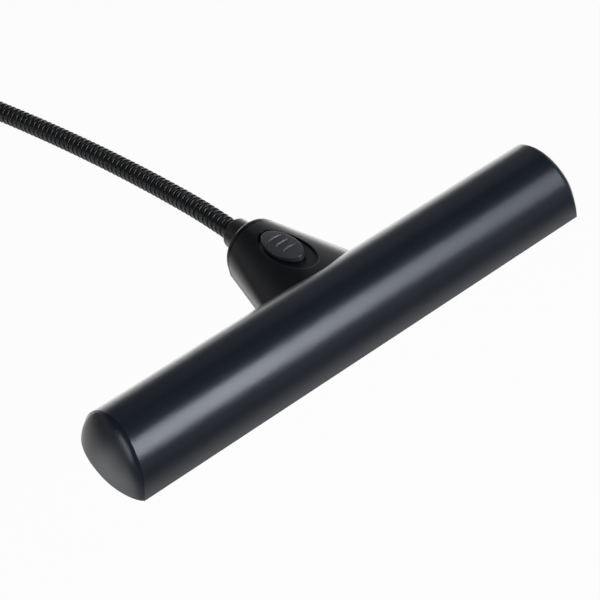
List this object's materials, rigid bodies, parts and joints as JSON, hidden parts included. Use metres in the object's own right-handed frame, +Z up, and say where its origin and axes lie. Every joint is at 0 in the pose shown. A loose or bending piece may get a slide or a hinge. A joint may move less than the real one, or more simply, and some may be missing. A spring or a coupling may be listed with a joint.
{
  "type": "clip-on music stand light",
  "caption": "Clip-on lamp with a long half-oval head on a bendable ribbed arm, a sliding thumb switch and a sprung grip that holds cells.",
  "frame": {"origin": "centre of the fixed grip pad's face, where the desk plate is held", "axes": "+Z up along the desk plate, +Y away from the moving jaw through the battery housing, +X to the right seen from the moving jaw's side, towards the power inlet"},
  "size_m": [0.2109, 0.3196, 0.2818],
  "materials": {
    "head_black": "satin bluish black moulding",
    "base_black": "satin black moulding",
    "thumb": "fine-grained black thumb piece",
    "gooseneck": "black-coated flexible steel conduit",
    "ferrule": "black-coated turned steel",
    "lens": "frosted clear plastic",
    "reflector": "glossy white",
    "circuit_board": "green solder mask",
    "led": "yellow phosphor",
    "grip_rubber": "soft black rubber",
    "cell": "plain sleeve",
    "contact": "nickel plated",
    "lead": "flexible insulation",
    "component_black": "glossy black",
    "steel": "zinc plated"
  },
  "bodies": {
    "base": {"battery_housing": "base_black", "housing_lid": "base_black", "lid_screws": "steel", "base_ferrule": "ferrule", "base_nut": "steel", "power_board": "circuit_board", "power_jack": "component_black", "cell_1": "cell", "cell_2": "cell", "cell_3": "cell", "contact_springs": "contact", "contact_plates": "contact", "fixed_pad": "grip_rubber", "jaw_pin": "steel", "pin_clip": "steel", "gooseneck_base_end": "gooseneck", "inner_lead": "lead", "jaw_spring": "steel"},
    "link_01": {"gooseneck_link_01": "gooseneck"},
    "link_02": {"gooseneck_link_02": "gooseneck"},
    "link_03": {"gooseneck_link_03": "gooseneck"},
    "link_04": {"gooseneck_link_04": "gooseneck"},
    "link_05": {"gooseneck_link_05": "gooseneck"},
    "link_06": {"gooseneck_link_06": "gooseneck"},
    "link_07": {"gooseneck_link_07": "gooseneck"},
    "link_08": {"gooseneck_link_08": "gooseneck"},
    "link_09": {"gooseneck_link_09": "gooseneck"},
    "link_10": {"gooseneck_link_10": "gooseneck"},
    "link_11": {"gooseneck_link_11": "gooseneck"},
    "link_12": {"gooseneck_link_12": "gooseneck"},
    "head": {"head_shell": "head_black", "end_cap_left": "head_black", "end_cap_right": "head_black", "lens": "lens", "reflector": "reflector", "led_board": "circuit_board", "leds": "led", "led_board_screws": "steel", "neck_housing": "head_black", "neck_end_ring": "head_black", "neck_cover": "head_black", "neck_cover_screws": "steel", "shade_screws": "steel", "slide_switch": "component_black", "switch_board": "circuit_board", "switch_board_screws": "steel", "head_ferrule": "ferrule", "head_nut": "steel", "head_lead": "lead", "gooseneck_head_end": "gooseneck"},
    "switch": {"thumb_slider": "thumb"},
    "jaw": {"jaw_lever": "base_black", "moving_pad": "grip_rubber"},
    "cover": {"battery_cover": "base_black"}
  },
  "joints": [
    {"name": "gooseneck_bend_01", "type": "hinge", "parent": "base", "child": "link_01", "pos_m": [0, 0.013, 0.08471], "axis": [1, 0, 0], "range_deg": [-15, 15], "deforming": ["inner_lead"]},
    {"name": "gooseneck_bend_02", "type": "hinge", "parent": "link_01", "child": "link_02", "pos_m": [0.00015, 0.01235, 0.1091], "axis": [0, -0.9934, -0.1148], "range_deg": [-15, 15], "deforming": ["inner_lead"]},
    {"name": "gooseneck_bend_03", "type": "hinge", "parent": "link_02", "child": "link_03", "pos_m": [0.00153, 0.00657, 0.13272], "axis": [0.9964, 0.0304, -0.0794], "range_deg": [-15, 15], "deforming": ["inner_lead"]},
    {"name": "gooseneck_bend_04", "type": "hinge", "parent": "link_03", "child": "link_04", "pos_m": [0.00426, -0.00487, 0.15405], "axis": [0, -0.8144, -0.5804], "range_deg": [-15, 15], "deforming": ["inner_lead"]},
    {"name": "gooseneck_bend_05", "type": "hinge", "parent": "link_04", "child": "link_05", "pos_m": [0.00816, -0.0212, 0.17169], "axis": [0.9836, 0.1384, -0.1154], "range_deg": [-15, 15], "deforming": ["inner_lead"]},
    {"name": "gooseneck_bend_06", "type": "hinge", "parent": "link_05", "child": "link_06", "pos_m": [0.01296, -0.04136, 0.18447], "axis": [0, -0.4213, -0.9069], "range_deg": [-15, 15], "deforming": ["inner_lead"]},
    {"name": "gooseneck_bend_07", "type": "hinge", "parent": "link_06", "child": "link_07", "pos_m": [0.01832, -0.06396, 0.19188], "axis": [0.9765, 0.2084, -0.0548], "range_deg": [-15, 15], "deforming": ["inner_lead"]},
    {"name": "gooseneck_bend_08", "type": "hinge", "parent": "link_07", "child": "link_08", "pos_m": [0.0232, -0.08706, 0.19811], "axis": [0, -0.2659, -0.964], "range_deg": [-15, 15], "deforming": ["inner_lead"]},
    {"name": "gooseneck_bend_09", "type": "hinge", "parent": "link_08", "child": "link_09", "pos_m": [0.02733, -0.11022, 0.20464], "axis": [0.9881, 0.1477, -0.0426], "range_deg": [-15, 15], "deforming": ["inner_lead"]},
    {"name": "gooseneck_bend_10", "type": "hinge", "parent": "link_09", "child": "link_10", "pos_m": [0.03071, -0.13342, 0.21148], "axis": [0, -0.2885, -0.9575], "range_deg": [-15, 15], "deforming": ["inner_lead"]},
    {"name": "gooseneck_bend_11", "type": "hinge", "parent": "link_10", "child": "link_11", "pos_m": [0.03331, -0.15662, 0.21862], "axis": [0.9958, 0.087, -0.0273], "range_deg": [-15, 15], "deforming": ["inner_lead"]},
    {"name": "gooseneck_bend_12", "type": "hinge", "parent": "link_11", "child": "link_12", "pos_m": [0.03516, -0.17981, 0.22605], "axis": [0, -0.3105, -0.9506], "range_deg": [-15, 15], "deforming": ["inner_lead"]},
    {"name": "gooseneck_bend_13", "type": "hinge", "parent": "link_12", "child": "head", "pos_m": [0.03623, -0.20296, 0.23376], "axis": [0.9996, 0.0268, -0.0091], "range_deg": [-15, 15], "deforming": ["inner_lead"]},
    {"name": "thumb_switch", "type": "slide", "parent": "head", "child": "switch", "axis": [0, -0.9436, 0.3312], "range_m": [0, 0.0055]},
    {"name": "jaw_hinge", "type": "hinge", "parent": "base", "child": "jaw", "pos_m": [0, -0.0055, 0.024], "axis": [-1, 0, 0], "range_deg": [0, 25], "stiffness_Nm_per_rad": 0.25, "springref_deg": -68.75, "deforming": ["jaw_spring"]},
    {"name": "battery_cover_slide", "type": "slide", "parent": "base", "child": "cover", "axis": [0, 0, -1], "range_m": [0, 0.06]}
  ]
}
